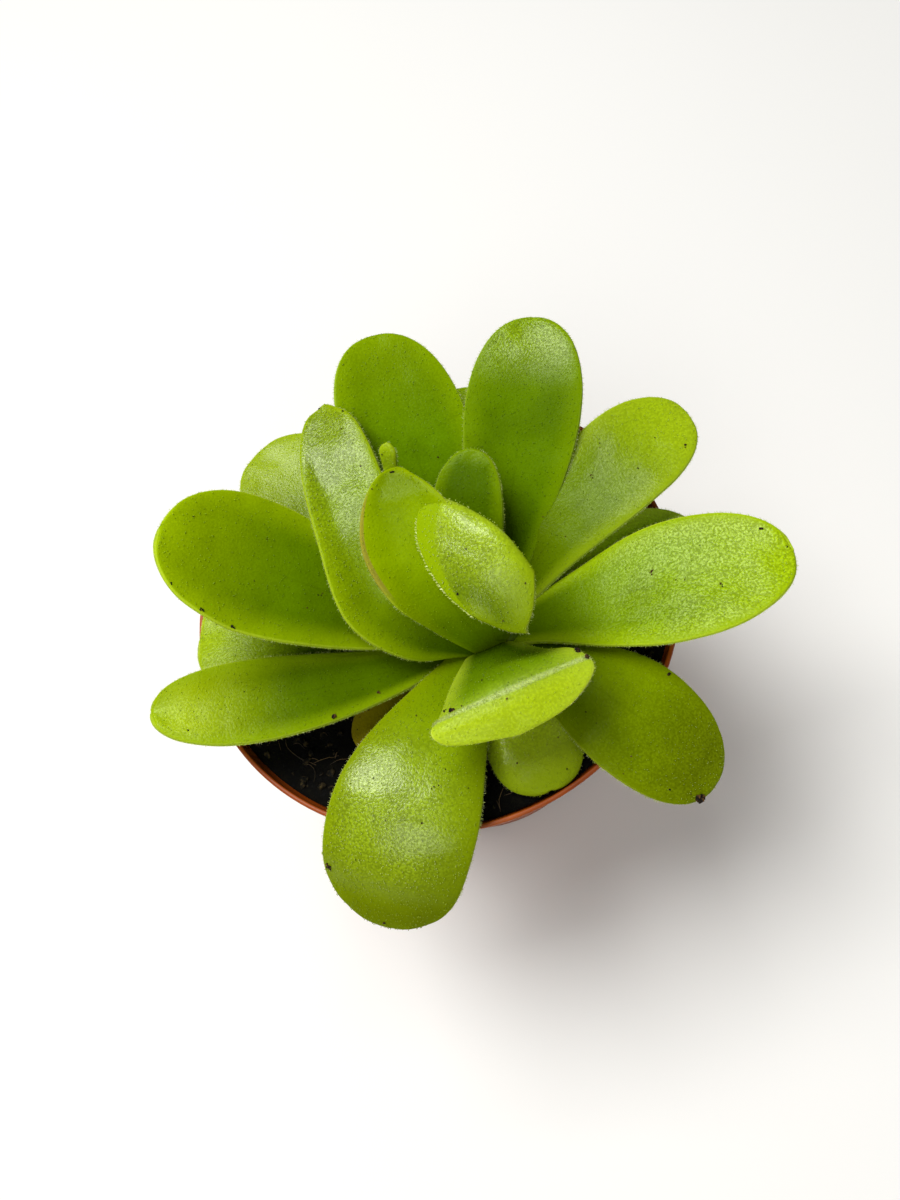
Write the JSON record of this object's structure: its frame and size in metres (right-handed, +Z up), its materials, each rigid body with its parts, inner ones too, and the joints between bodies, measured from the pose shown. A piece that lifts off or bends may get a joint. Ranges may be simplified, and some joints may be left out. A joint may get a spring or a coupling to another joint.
{
  "type": "potted butterwort",
  "caption": "Butterwort rosette of thick, sticky, rounded leaves on a short stem in a small round nursery pot filled with peat.",
  "frame": {"origin": "centre of the pot's flat underside", "axes": "+Z up along the pot's axis, -Y towards the front leaf that hangs over the rim, +X towards the broad right-hand leaf"},
  "size_m": [0.1027, 0.0946, 0.0928],
  "materials": {
    "pot": "thin terracotta-coloured thermoformed plastic, satin, with a fine groove in the rim",
    "peat": "damp near-black peat with brown fibres and a few pale grains",
    "stem": "pale green, fleshy, smooth",
    "leaf": "fleshy yellow-green leaf, wet sheen of tiny sticky glands, paler margin with fine hairs",
    "old_leaf": "withered olive-brown leaf, dull"
  },
  "bodies": {
    "root": {"pot": "pot", "peat": "peat", "stem": "stem", "leaf_heart": "leaf", "leaf_cupped": "leaf", "leaf_tall_left": "leaf", "leaf_curled_tip": "leaf", "leaf_folded_front": "leaf", "leaf_inner_right": "leaf", "leaf_right": "leaf", "leaf_back_left": "leaf", "leaf_back": "leaf", "leaf_left_broad": "leaf", "leaf_back_right": "leaf", "leaf_left_narrow": "leaf", "leaf_front": "leaf", "leaf_front_right": "leaf", "leaf_low_right": "leaf", "leaf_low_back_left": "leaf", "leaf_low_left": "leaf", "leaf_low_back": "leaf", "leaf_small_front": "leaf", "leaf_old": "old_leaf"}
  },
  "joints": []
}
